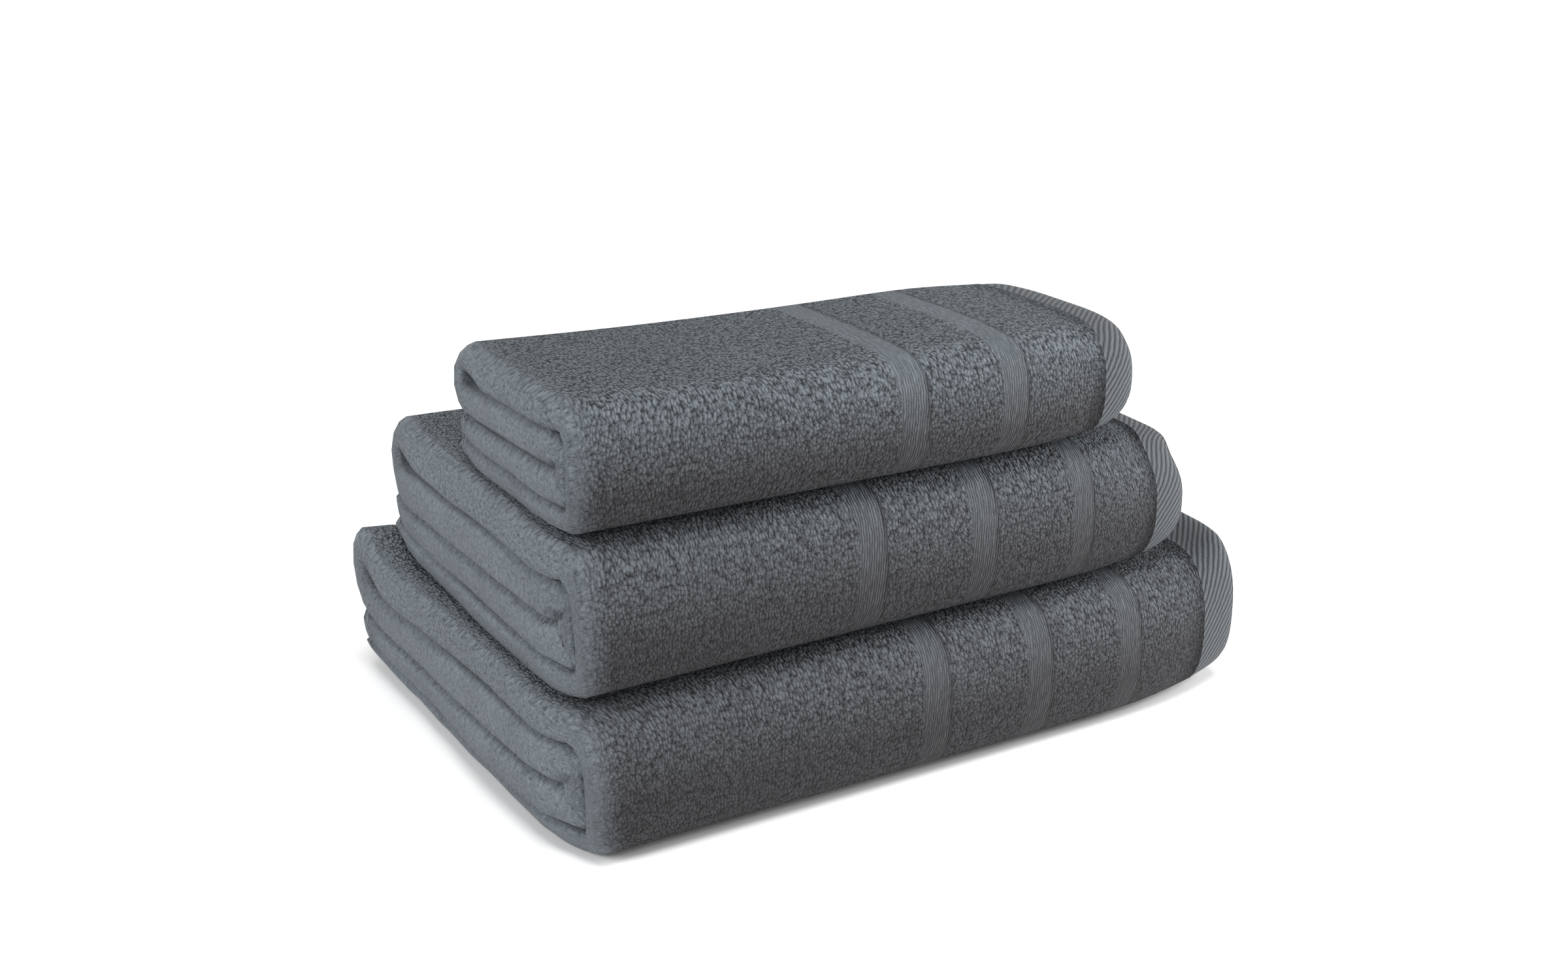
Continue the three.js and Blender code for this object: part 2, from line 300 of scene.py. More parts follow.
class Towel:
    """One towel's sizes, folds and relief."""

    def __init__(self, name, flat, layers, hollow, bands):
        self.name, self.flat, self.layers, self.hollow, self.bands = name, flat, layers, hollow, bands
        low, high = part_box(f"{name}_pile_cloth")
        for part in ("outer_end_hem", "outer_side_hem"):
            a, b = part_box(f"{name}_{part}")
            low = Vector(map(min, low, a))
            high = Vector(map(max, high, b))
        self.x0, self.x1 = low.x, high.x
        self.y0, self.y1 = low.y, high.y
        self.z0, self.z1 = low.z, high.z
        self.depth = high.y - low.y
        self.height = high.z - low.z
        self.bundle = (self.height - hollow) / 4
        self.cloth = self.bundle / layers
        self.across = width_path(self)
        self.along = length_path(self)
        self.seed = sum(map(ord, name))

    def edge_of_pile(self):
        """Where along the cloth the pile ends and the inner end hem starts."""
        return self.along.length - END_HEM

    def exposure(self, u, v):
        """1 where the outermost layer's pile stands in the open, 0 where another layer or towel lies on it,
        and how far into the left end it is, from 0 to 1."""
        turn = self.turns_u[0]
        shown = 1 - ramp(u, turn[1], turn[1] + 4 * MM)
        under = 1 - ramp(v, self.turns_v["nose"] - 10 * MM, self.turns_v["nose"] + 3 * MM)
        inside = ramp(v, self.turns_v["slope"] - 6 * MM, self.turns_v["slope"])
        at_end = ramp(u, turn[0] - 7 * MM, turn[0] + 5 * MM)
        return shown * np.maximum(1 - np.maximum(under, inside), at_end), at_end

    def relief(self, u, v):
        """How far the pile's outside stands from the middle of the cloth."""
        rng = np.random.default_rng(self.seed)
        open_air, at_end = self.exposure(u, v)
        clumps = bumps(rng, u, v, CLUMPS)
        pits = -PITS[0] * ramp(lattice(rng, u, v, *PITS[1:]), 0.3, 0.95)
        swells = bumps(rng, u, v, SWELLS)
        wander = bumps(rng, u, v, WANDER)
        tufts = (1 - 0.5 * at_end) * (clumps + pits)
        pile = swells + 0.35 * MM
        for edge in self.bands:
            at = u + wander - edge
            rise = ramp(at, BAND_WIDTH - 3 * MM, BAND_WIDTH + 2.5 * MM)
            dip = ramp(at, -0.3 * MM, 0.4 * MM) * (1 - rise)
            crease = np.exp(-(((at - 0.5 * MM) / (0.9 * MM)) ** 2))
            shoulder = np.exp(-(((at + BAND_SOFT) / BAND_SOFT) ** 2)) * (at < 0)
            far_side = np.exp(-(((at - BAND_WIDTH - 8 * MM) / (7 * MM)) ** 2))
            tufts = tufts * (1 - dip)
            pile = pile - dip * BAND_DEPTH - crease * 1.4 * MM + (shoulder + 0.6 * far_side) * 1.6 * MM
        flat = np.full(u.shape, self.cloth / 2 - LAYER_GAP)
        return flat + open_air * (pile + tufts) + 0.6 * MM * at_end

    def place(self, u, v, w):
        """The point at u, v and the height w above the middle of the cloth, in metres in the shared frame."""
        x, s, mx, ms = self.along.at(u)
        y, z, ny, nz = self.across.at(v)
        x = x + mx * w
        s = s + ms * w
        s = s * (1 + np.where(s > 0, self.fluff_in_fold(v), self.fluff_in_loop(v)))
        outside = self.bundle / 2
        s = np.where(s < outside, outside - (outside - s) * (1 - self.squeeze(v) * ny**2), s)
        rng = np.random.default_rng(self.seed + 1)
        uneven = bumps(rng, s + 0.5, v, LAYER_WAVES)
        x = x + FOLD_WAVES * uneven * (1 - ramp(x, self.x0, self.x0 + 60 * MM))
        points = np.stack([x, self.y0 + y + ny * s, self.z0 + z + nz * s], axis=-1)
        return self.soften(points)

    def squeeze(self, v):
        """How much the bundle is pressed together where it goes round its nose and round its inner fold."""
        turns = self.turns_v
        at_nose = v < (turns["top"] + turns["loop"]) / 2
        at_inner = v > (turns["slope"] + turns["inner"]) / 2
        return SQUEEZE * at_nose + INNER_SQUEEZE * at_inner

    def fluff_in_fold(self, v):
        """How much thicker the bundle lies on the inside of its inner fold, where nothing presses on it."""
        turns = self.turns_v
        rise = ramp(v, turns["slope"], turns["inner"])
        fall = 1 - ramp(v, turns["last"], self.flat[0])
        return 0.92 * self.hollow / self.bundle * np.where(v < turns["inner"], rise, fall)

    def fluff_in_loop(self, v):
        """The same on the inside of its back loop, which stays open only close to the turn."""
        turns = self.turns_v
        before = np.clip((turns["loop"] - v) / (turns["inner"] - turns["slope"]), 0, 1)
        after = np.clip((v - turns["slope"]) / (turns["inner"] - turns["slope"]), 0, 1)
        away = np.where(v < turns["slope"], before, after)
        closed = ramp(away * (turns["inner"] - turns["slope"]), LOOP_HOLE, 3 * LOOP_HOLE)
        inside = (v > turns["top"]) & (v < turns["inner"])
        return np.where(inside, 0.96 * self.hollow / self.bundle * (1 - away) * closed, 0)

    def soften(self, p):
        """The towel's slack: each end is rounded off above, below and at its front and back corners, the
        right end is a little thinner, the nose falls back to the right and the back loop stands up."""
        slack = SLACK[self.name]
        x, y, z = p[..., 0], p[..., 1], p[..., 2]
        up = (z - self.z0) / self.height
        high = np.abs(2 * up - 1) ** 3
        along = (x - self.x0) / (self.x1 - self.x0)
        across = (y - self.y0) / self.depth
        front = (1 - ramp(y, self.y0, self.y0 + CORNER)) ** 1.5
        back = ramp(y, self.y1 - CORNER, self.y1) ** 1.5
        left = 1 - ramp(x, self.x0, self.x0 + END_SLACK)
        right = ramp(x, self.x1 - END_SLACK, self.x1)
        first = 1 - ramp(x, self.x0, self.x0 + LOOP_SLACK)
        last = ramp(x, self.x1 - END_PUFF, self.x1)
        rim = np.clip((x - self.x1 + RIM) / RIM, 0, 0.97)
        rim = slack["rim"] * (1 - np.sqrt(1 - rim**2))
        edge = high * np.where(up > 0.5, slack["left_top"], slack["left_bottom"])
        pull_left = edge + slack["left_front"] * front + slack["left_back"] * back
        pull_right = slack["right_edge"] * high + slack["right_front"] * front + RIGHT_BACK * back
        x = x + MM * left * (pull_left - slack["left_skew"] * across)
        x = x - MM * right * (pull_right - slack["right_skew"] * across)
        nose = 1 - ramp(y, self.y0, self.y0 + 0.7 * self.depth)
        y = y + MM * nose * (slack["fall"] * along + slack["fall_end"] * right**2 + rim)
        crown = CROWN * (1 - np.clip(across / 0.45, 0, 1)) ** 2
        sag = slack["sag"] * (4 * along * (1 - along) - 0.5)
        sink = slack["droop_right"] * right**2 + rim + crown + sag
        loose = slack["loop_lift"] * first * ramp(across, 0.8, 1.0) + slack["end_puff"] * last
        lift = slack["lift_right"] * right**2 + 0.5 * rim
        z = z + MM * ((loose - sink) * up + lift * (1 - up))
        return np.stack([x, y, z], axis=-1)


# ---------------------------------------------------------------- meshes


def spaced(*stops):
    """Values from (start, end, spacing) stretches that follow each other, with no value twice."""
    values = [
        np.linspace(start, end, max(2, int(round((end - start) / step)) + 1))
        for start, end, step in stops
        if end > start
    ]
    values = np.concatenate(values)
    return values[np.concatenate([[True], np.diff(values) > 1e-7])]


def zip_rows(first, first_at, second, second_at):
    """Triangles between two rows of points that are numbered and placed along the same length."""
    i = j = 0
    faces = []
    while i < len(first) - 1 or j < len(second) - 1:
        step_first = j == len(second) - 1 or (
            i < len(first) - 1 and first_at[i + 1] <= second_at[j + 1]
        )
        if step_first:
            faces.append((first[i], first[i + 1], second[j]))
            i += 1
        else:
            faces.append((first[i], second[j + 1], second[j]))
            j += 1
    return faces


class Shell:
    """A closed sheet of cloth: an outer and an inner face, each made of rows of points at constant u, and
    the narrow edge that joins them. Each point keeps its u and v for the material."""

    def __init__(self):
        self.points, self.cloth, self.quads, self.triangles = [], [], [], []
        self.count = 0
        self.rims = []

    def face(self, blocks, place, side):
        """blocks is a list of (u values, v values). place gives the points at u and v on this side."""
        rows = []
        for us, vs in blocks:
            u, v = np.meshgrid(us, vs, indexing="ij")
            points = place(u, v)
            index = self.count + np.arange(u.size).reshape(u.shape)
            self.points.append(points.reshape(-1, 3))
            self.cloth.append(np.stack([u, v, 0 * u], axis=-1).reshape(-1, 3))
            self.count += u.size
            quads = np.stack([index[:-1, :-1], index[1:, :-1], index[1:, 1:], index[:-1, 1:]], axis=-1)
            quads = quads.reshape(-1, 4)
            self.quads.append(quads if side < 0 else quads[:, ::-1])
            if rows:
                faces = zip_rows(rows[-1][0][-1], rows[-1][2], index[0], vs)
                self.add_triangles(faces, side < 0)
            rows.append((index, us, vs))
        self.rims.append(rows)

    def add_triangles(self, faces, turned):
        """Adds triangles, turned over where their side of the cloth needs it."""
        self.triangles += [face[::-1] for face in faces] if turned else list(faces)

    def close(self):
        """Joins the outer and the inner face along all four edges."""
        outer, inner = self.rims
        for column in (0, -1):
            a = np.concatenate([index[:, column] for index, _, _ in outer])
            b = np.concatenate([index[:, column] for index, _, _ in inner])
            a_at = np.concatenate([us for _, us, _ in outer])
            b_at = np.concatenate([us for _, us, _ in inner])
            self.add_triangles(zip_rows(a, a_at, b, b_at), column == 0)
        for row in (0, -1):
            a, b = outer[row], inner[row]
            faces = zip_rows(a[0][row], a[2], b[0][row], b[2])
            self.add_triangles(faces, row == -1)

    def build(self, name):
        points, cloth = np.concatenate(self.points), np.concatenate(self.cloth)
        return build_mesh(name, points, np.concatenate(self.quads), self.triangles, cloth)


def build_mesh(name, points, quads, triangles, cloth=None):
    """A smooth object from its points and faces, with the cloth's u and v at each point as an attribute."""
    triangles = np.array(triangles, np.int32).reshape(-1, 3)
    quads = np.array(quads, np.int32).reshape(-1, 4)
    mesh = bpy.data.meshes.new(name)
    mesh.vertices.add(len(points))
    mesh.vertices.foreach_set("co", points.astype(np.float32).ravel())
    loops = np.concatenate([quads.ravel(), triangles.ravel()])
    mesh.loops.add(len(loops))
    mesh.loops.foreach_set("vertex_index", loops)
    sizes = np.concatenate([np.full(len(quads), 4), np.full(len(triangles), 3)])
    starts = np.concatenate([[0], np.cumsum(sizes)[:-1]])
    mesh.polygons.add(len(sizes))
    mesh.polygons.foreach_set("loop_start", starts.astype(np.int32))
    mesh.update(calc_edges=True)
    mesh.shade_smooth()
    if cloth is not None:
        attribute = mesh.attributes.new("cloth", "FLOAT_VECTOR", "POINT")
        attribute.data.foreach_set("vector", cloth.astype(np.float32).ravel())
    piece = bpy.data.objects.new(name, mesh)
    bpy.context.scene.collection.objects.link(piece)
    return piece


def v_lines(towel, fine, top, back, hidden, first, last):
    """Where the mesh has lines across the width: close on the nose, and as given on the top panel, on the
    back loop and on the panels that don't show."""
    at = towel.turns_v
    return spaced(
        (first, at["nose"] - 6 * MM, hidden),
        (at["nose"] - 6 * MM, at["top"] + 14 * MM, fine),
        (at["top"] + 14 * MM, at["loop"] - 12 * MM, top),
        (at["loop"] - 12 * MM, at["slope"], back),
        (at["slope"], at["inner"], hidden),
        (at["inner"], at["last"], min(hidden, MEDIUM)),
        (at["last"], last, hidden),
    )


def make_cloth(towel):
    """The pile cloth between the hems. Only what can be seen of it has a close mesh."""
    first, last = SIDE_HEM - HEM_LAP, towel.flat[0] - SIDE_HEM + HEM_LAP
    start, end = END_HEM, towel.edge_of_pile()
    turn_start, turn_end = towel.turns_u[0]
    top = FINE if towel.name == "hand_towel" else MEDIUM
    shown = v_lines(towel, FINE, top, 1.1 * MM, COARSE / 2, first, last)
    at_turn = v_lines(towel, 1.0 * MM, 1.2 * MM, 1.2 * MM, 1.2 * MM, first, last)
    rest = v_lines(towel, 4 * MM, COARSE, 6 * MM, COARSE, first, last)
    stretches = []
    reach = start
    for band in towel.bands:
        stretches += [(reach, band - 2 * MM, FINE), (band - 2 * MM, band + 2 * MM, 0.35 * MM)]
        stretches += [(band + 2 * MM, band + BAND_WIDTH - 2 * MM, 1.2 * MM)]
        reach = band + BAND_WIDTH - 2 * MM
    stretches += [(reach, turn_start - 3 * MM, FINE)]
    rest_u, inner_u = [], [(start, turn_start, COARSE), (turn_start, turn_end, 2 * MM)]
    reach = turn_end + 5 * MM
    inner_reach = turn_end
    for low, high in towel.turns_u[1:]:
        rest_u += [(reach, low, COARSE), (low, high, 1 * MM)]
        inner_u += [(inner_reach, low - 10 * MM, COARSE), (low - 10 * MM, high + 10 * MM, 1 * MM)]
        reach = high
        inner_reach = high + 10 * MM
    rest_u += [(reach, end, COARSE)]
    inner_u += [(inner_reach, end, COARSE)]
    half = towel.cloth / 2 - LAYER_GAP
    shell = Shell()

    shell.face(
        [
            (spaced(*stretches), shown),
            (spaced((turn_start - 2.4 * MM, turn_end + 4 * MM, 1.0 * MM)), at_turn),
            (spaced(*rest_u), rest),
        ],
        lambda u, v: towel.place(u, v, towel.relief(u, v)),
        1,
    )
    shell.face([(spaced(*inner_u), rest)], lambda u, v: towel.place(u, v, -half), -1)
    shell.close()
    return shell.build(f"{towel.name}_cloth")


def make_hem(towel, name, us, vs, half):
    """A doubled strip of flat weave, through the folds, between the given lines, with its edges rounded."""
    shell = Shell()

    def thickness(u, v):
        to_edge = np.minimum(np.minimum(u, towel.flat[1] - u), np.minimum(v, towel.flat[0] - v))
        return half * np.sqrt(1 - (1 - np.clip(0.15 + to_edge / HEM_EDGE, 0, 1)) ** 2)

    shell.face([(us, vs)], lambda u, v: towel.place(u, v, thickness(u, v)), 1)
    shell.face([(us, vs)], lambda u, v: towel.place(u, v, -thickness(u, v)), -1)
    shell.close()
    return shell.build(name)


def make_thread(towel, name, u):
    """A row of stitches along a hem: one thread that rises over the weave and dips into it."""
    vs = spaced((3 * MM, towel.flat[0] - 3 * MM, STITCH / 5))
    rise = HEM_HALF + THREAD * (0.75 * np.abs(np.sin(math.pi * vs / STITCH)) - 0.35)
    angles = np.arange(THREAD_SIDES) * 2 * math.pi / THREAD_SIDES
    across, up = THREAD / 2 * np.cos(angles), THREAD / 2 * np.sin(angles)
    v, a = np.meshgrid(vs, np.arange(THREAD_SIDES), indexing="ij")
    points = towel.place(u + across[a], v, rise[:, None] + up[a])
    index = np.arange(v.size).reshape(v.shape)
    onward = np.roll(index, -1, axis=1)
    quads = np.stack([index[:-1], onward[:-1], onward[1:], index[1:]], axis=-1).reshape(-1, 4)
    ends = (index[0][::-1], index[-1])
    caps = [(ring[0], ring[k], ring[k + 1]) for ring in ends for k in range(1, THREAD_SIDES - 1)]
    cloth = np.stack([u + across[a], v, 0 * v], axis=-1).reshape(-1, 3)
    return build_mesh(name, points.reshape(-1, 3), quads, caps, cloth)


# ---------------------------------------------------------------- materials


# The colours of each cloth's pile from its hollows to its heights: its own colour, with painted shade that
# darkens the hollows between the loops.
PILE_COLOURS_WITH_HOLLOW_SHADE = (
    (0.0, (0.022, 0.024, 0.029)),
    (0.3, (0.068, 0.077, 0.087)),
    (0.6, (0.126, 0.145, 0.161)),
    (1.0, (0.205, 0.235, 0.260)),
)
WEAVE_COLOURS = (
    (0.1, (0.008, 0.009, 0.012)),
    (0.5, (0.034, 0.039, 0.045)),
    (1.0, (0.115, 0.132, 0.148)),
)
THREAD_COLOURS = ((0.0, (0.070, 0.076, 0.085)), (1.0, (0.150, 0.165, 0.180)))
# Painted shade under a nose: the share of its colour that the pile keeps there, and how far round the nose
# that reaches.
UNDERSIDE_SHADE = (0.32, 0.27, 0.27)
SHADE_REACH = {"bath_sheet": 0.85, "bath_towel": 0.74, "hand_towel": 0.62}
# How much lighter the side hems are painted than the end hems, along the ramp of their colours: painted light
# that makes up for the shade in their deep ribs.
SIDE_HEM_PAINTED_LIGHT = 0.25


class Nodes:
    """Short ways to add nodes to a material."""

    def __init__(self, name):
        self.material = bpy.data.materials.new(name)
        self.material.use_nodes = True
        self.tree = self.material.node_tree
        self.tree.nodes.clear()
        self.shader = self.add("ShaderNodeBsdfPrincipled")
        output = self.add("ShaderNodeOutputMaterial")
        self.link(self.shader.outputs["BSDF"], output.inputs["Surface"])

    def add(self, kind, **settings):
        node = self.tree.nodes.new(kind)
        for key, value in settings.items():
            setattr(node, key, value)
        return node

    def link(self, output, socket):
        self.tree.links.new(output, socket)

    def maths(self, operation, a, b=None, c=None, clamp=False):
        node = self.add("ShaderNodeMath", operation=operation, use_clamp=clamp)
        for i, value in enumerate((a, b, c)):
            if isinstance(value, (int, float)):
                node.inputs[i].default_value = value
            elif value is not None:
                self.link(value, node.inputs[i])
        return node.outputs[0]

    def mix(self, share, a, b):
        """Between two numbers or sockets."""
        return self.maths("ADD", a, self.maths("MULTIPLY", share, self.maths("SUBTRACT", b, a)))

    def colours(self, value, stops):
        """A ramp of colours over a value from 0 to 1."""
        node = self.add("ShaderNodeValToRGB")
        elements = node.color_ramp.elements
        while len(elements) < len(stops):
            elements.new(0.5)
        for element, (place, colour) in zip(elements, stops):
            element.position = place
            element.color = (*colour, 1)
        self.link(value, node.inputs[0])
        return node.outputs[0]

    def paint_shade(self, colour, share, tint):
        """Paints shade: towards a tinted, darker colour where share is 1, and into the shader."""
        node = self.add("ShaderNodeMix", data_type="RGBA", blend_type="MULTIPLY")
        self.link(share, node.inputs["Factor"])
        self.link(colour, node.inputs[6])
        node.inputs[7].default_value = (*tint, 1)
        self.link(node.outputs[2], self.shader.inputs["Base Color"])

    def cloth(self):
        """u and v in millimetres, as two numbers."""
        attribute = self.add("ShaderNodeAttribute", attribute_name="cloth")
        parts = self.add("ShaderNodeSeparateXYZ")
        self.link(attribute.outputs["Vector"], parts.inputs[0])
        return [self.maths("MULTIPLY", parts.outputs[k], 1000) for k in range(2)]

    def vector(self, x, y, z=0.0):
        node = self.add("ShaderNodeCombineXYZ")
        for i, value in enumerate((x, y, z)):
            if isinstance(value, (int, float)):
                node.inputs[i].default_value = value
            else:
                self.link(value, node.inputs[i])
        return node.outputs[0]

    def noise(self, vector, scale, detail=2.0):
        node = self.add("ShaderNodeTexNoise")
        self.link(vector, node.inputs["Vector"])
        node.inputs["Scale"].default_value = scale
        node.inputs["Detail"].default_value = detail
        return node.outputs["Fac"]

    def cells(self, vector, scale, randomness):
        """Distance to the nearest of scattered points, and a number from 0 to 1 for each point."""
        node = self.add("ShaderNodeTexVoronoi", feature="F1", voronoi_dimensions="2D")
        self.link(vector, node.inputs["Vector"])
        node.inputs["Scale"].default_value = scale
        node.inputs["Randomness"].default_value = randomness
        parts = self.add("ShaderNodeSeparateColor")
        self.link(node.outputs["Color"], parts.inputs[0])
        return node.outputs["Distance"], parts.outputs[0]

    def bump(self, height, distance, strength=1.0):
        node = self.add("ShaderNodeBump")
        node.inputs["Distance"].default_value = distance
        node.inputs["Strength"].default_value = strength
        self.link(height, node.inputs["Height"])
        self.link(node.outputs["Normal"], self.shader.inputs["Normal"])


def wave(nodes, value, pitch):
    """From 0 to 1 and back over each pitch."""
    turns = nodes.maths("MULTIPLY", value, 2 * math.pi / pitch)
    return nodes.maths("MULTIPLY_ADD", nodes.maths("SINE", turns), 0.5, 0.5)


def near(nodes, value, place, reach):
    """1 at the place, falling to 0 at the reach either side."""
    away = nodes.maths("ABSOLUTE", nodes.maths("SUBTRACT", value, place))
    return nodes.maths("SUBTRACT", 1, nodes.maths("DIVIDE", away, reach), clamp=True)


def between(nodes, value, low, high, soft):
    """1 from low to high and 0 outside them."""
    rise = nodes.maths("DIVIDE", nodes.maths("SUBTRACT", value, low - soft / 2), soft, clamp=True)
    fall = nodes.maths("DIVIDE", nodes.maths("SUBTRACT", high + soft / 2, value), soft, clamp=True)
    return nodes.maths("MULTIPLY", rise, fall)


def beads(nodes, vector, scale, size):
    """Round loops of yarn of different heights that stand apart from each other."""
    away, odds = nodes.cells(vector, scale, 0.85)
    dome = nodes.maths("MULTIPLY", nodes.maths("MULTIPLY", away, away), -1 / size**2)
    dome = nodes.maths("ADD", dome, 1, clamp=True)
    return nodes.maths("MULTIPLY", dome, nodes.maths("MULTIPLY_ADD", odds, 0.6, 0.5))


def terry(towel):
    """Looped pile of round loops of yarn in two sizes, fluffier at the left turn, with flat satin bands.
    u, v and the places along them are in millimetres here."""
    nodes = Nodes(f"terry_{towel.name}")
    u, v = nodes.cloth()
    place = nodes.vector(u, v)

    # Loops of two sizes that stand close together, uneven clumps of them, and the fuzz of the yarn.
    drift = nodes.maths("MULTIPLY", nodes.maths("SUBTRACT", nodes.noise(place, 0.10, 1), 0.5), 3.0)
    across = nodes.maths("ADD", u, drift)
    tall = nodes.vector(across, nodes.maths("MULTIPLY", v, 0.85))
    loops = beads(nodes, tall, 0.58, 0.64)
    small = beads(nodes, nodes.vector(nodes.maths("ADD", across, 31), v), 0.90, 0.6)
    pile = nodes.maths("MAXIMUM", loops, nodes.maths("MULTIPLY", small, 0.75))
    yarn = nodes.noise(place, 1.4, 3)
    clumps = nodes.noise(place, 0.24, 2)
    pile = nodes.maths("MULTIPLY_ADD", nodes.maths("SUBTRACT", clumps, 0.5), 0.9, pile)

    # At the left turn and inside it the loops are fluffed into strands.
    at_turn = between(nodes, u, towel.turns_u[0][0] / MM - 3, towel.turns_u[0][1] / MM + 60, 12)
    strands = nodes.noise(nodes.vector(u, nodes.maths("MULTIPLY", v, 0.5)), 0.8, 4)
    fluff = nodes.maths("MULTIPLY_ADD", strands, 0.9, 0.18)
    pile = nodes.mix(nodes.maths("MULTIPLY", at_turn, 0.75), pile, fluff)
    pile = nodes.maths("MULTIPLY_ADD", nodes.maths("SUBTRACT", yarn, 0.5), 0.7, pile)

    # The loops stand out more on the top panel, which is seen at a low angle: their bumps and the painted
    # shade in their hollows are both stronger there.
    on_top = between(nodes, v, towel.turns_v["top"] / MM - 5, towel.turns_v["slope"] / MM, 14)
    gain = nodes.maths("MULTIPLY_ADD", on_top, 0.7, 1.0)
    pile = nodes.maths("MULTIPLY_ADD", nodes.maths("SUBTRACT", pile, 0.40), gain, 0.45)

    # The bands: fine satin lines, a ragged edge to the pile, and an uneven crease along the outer side, a dip
    # in the bumps with painted shade in it.
    slant = nodes.maths("MULTIPLY_ADD", v, 0.10, u)
    lens = nodes.noise(nodes.vector(u, nodes.maths("MULTIPLY", v, 0.22)), 0.9, 1)
    slant = nodes.maths("MULTIPLY_ADD", lens, 1.6, slant)
    satin = nodes.maths("MULTIPLY_ADD", wave(nodes, slant, 1.3), 0.45, 0.37)
    satin = nodes.maths("MULTIPLY_ADD", nodes.maths("SUBTRACT", yarn, 0.5), 0.5, satin)
    fray = nodes.maths("SUBTRACT", nodes.noise(place, 0.3, 2), 0.5)
    ragged = nodes.maths("MULTIPLY_ADD", fray, 5.0, u)
    uneven = nodes.maths("MULTIPLY_ADD", nodes.noise(place, 0.12, 2), 1.6, -0.2, clamp=True)
    mask = crease = None
    for edge in towel.bands:
        low = edge / MM
        band = between(nodes, ragged, low - 3, low + BAND_WIDTH / MM - 2.0, 2.5)
        band = nodes.maths("MULTIPLY", band, between(nodes, u, low, low + 40, 0.8))
        crease_dip_and_shade = nodes.maths("MULTIPLY", near(nodes, u, low + 0.3, 2.0), uneven)
        mask = band if mask is None else nodes.maths("ADD", mask, band)
        crease = crease_dip_and_shade if crease is None else nodes.maths("ADD", crease, crease_dip_and_shade)
    height = nodes.mix(mask, pile, satin)

    # Painted shade: the hollows between the loops are dark and the heights light, and the pile is painted
    # darker under the nose, where shade falls.
    cloudy = nodes.maths("SUBTRACT", nodes.noise(place, 0.035, 3), 0.5)
    shade = nodes.maths("MULTIPLY_ADD", cloudy, 0.25, height)
    # The creases along the bands get painted shade.
    shade = nodes.maths("SUBTRACT", shade, nodes.maths("MULTIPLY", crease, 0.6), clamp=True)
    colour = nodes.colours(shade, PILE_COLOURS_WITH_HOLLOW_SHADE)
    turn_low, turn_high = towel.turns_v["nose"] / MM, towel.turns_v["top"] / MM
    span = turn_high - turn_low
    reach = SHADE_REACH[towel.name] * span
    # under is where the painted shade falls round the nose; outer keeps it to the outermost layer.
    under = between(nodes, v, turn_low - 60, turn_low + reach, reach)
    outer = between(nodes, u, -50, towel.turns_u[0][0] / MM - 2, 16)
    nodes.paint_shade(colour, nodes.maths("MULTIPLY", under, outer), UNDERSIDE_SHADE)
    rough = nodes.maths("MULTIPLY_ADD", mask, -0.22, nodes.maths("MULTIPLY_ADD", yarn, -0.08, 1.0))
    nodes.link(rough, nodes.shader.inputs["Roughness"])
    nodes.shader.inputs["Specular IOR Level"].default_value = 0.25
    nodes.shader.inputs["Sheen Weight"].default_value = 0.05
    nodes.shader.inputs["Sheen Roughness"].default_value = 0.6
    nodes.bump(nodes.maths("SUBTRACT", height, crease), 1.9 * MM)
    return nodes.material


def flat_weave(name, painted_light):
    """A doubled hem of plain weave with slanting ribs, with painted light that makes it lighter by that share
    of the ramp of its colours.
    """
    nodes = Nodes(name)
    u, v = nodes.cloth()
    place = nodes.vector(u, v)
    bent = nodes.maths("MULTIPLY_ADD", nodes.noise(place, 0.25, 2), 1.6, nodes.maths("ADD", u, v))
    ribs = nodes.maths("POWER", wave(nodes, bent, 4.4), 0.6)
    threads = nodes.maths("MULTIPLY", wave(nodes, u, 0.8), wave(nodes, v, 0.8))
    fine = nodes.noise(place, 1.7, 3)
    height = nodes.maths("MULTIPLY_ADD", threads, 0.12, nodes.maths("MULTIPLY", ribs, 0.60))
    height = nodes.maths("MULTIPLY_ADD", fine, 0.35, height)
    colour = nodes.colours(nodes.maths("ADD", height, painted_light), WEAVE_COLOURS)
    nodes.link(colour, nodes.shader.inputs["Base Color"])
    nodes.link(nodes.maths("MULTIPLY_ADD", fine, -0.2, 0.98), nodes.shader.inputs["Roughness"])
    nodes.shader.inputs["Specular IOR Level"].default_value = 0.3
    nodes.shader.inputs["Sheen Weight"].default_value = 0.12
    nodes.shader.inputs["Sheen Roughness"].default_value = 0.6
    nodes.bump(height, 1.3 * MM)
    return nodes.material


def sewing_thread():
    """Twisted thread in the colour of the cloth."""
    nodes = Nodes("sewing_thread")
    u, v = nodes.cloth()
    twist = wave(nodes, nodes.maths("MULTIPLY_ADD", u, 1.5, v), 0.5)
    fuzz = nodes.noise(nodes.vector(u, v), 2.0, 2)
    height = nodes.maths("MULTIPLY_ADD", fuzz, 0.5, nodes.maths("MULTIPLY", twist, 0.5))
    colour = nodes.colours(height, THREAD_COLOURS)
    nodes.link(colour, nodes.shader.inputs["Base Color"])
    nodes.shader.inputs["Roughness"].default_value = 0.7
    nodes.bump(height, 0.1 * MM)
    return nodes.material


# ---------------------------------------------------------------- the set


def add_piece(piece, look, towel, node):
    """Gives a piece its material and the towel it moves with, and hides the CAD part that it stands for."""
    piece.data.materials.append(look)
    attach(piece, towel.name)
    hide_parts(f"{towel.name}_{node}")


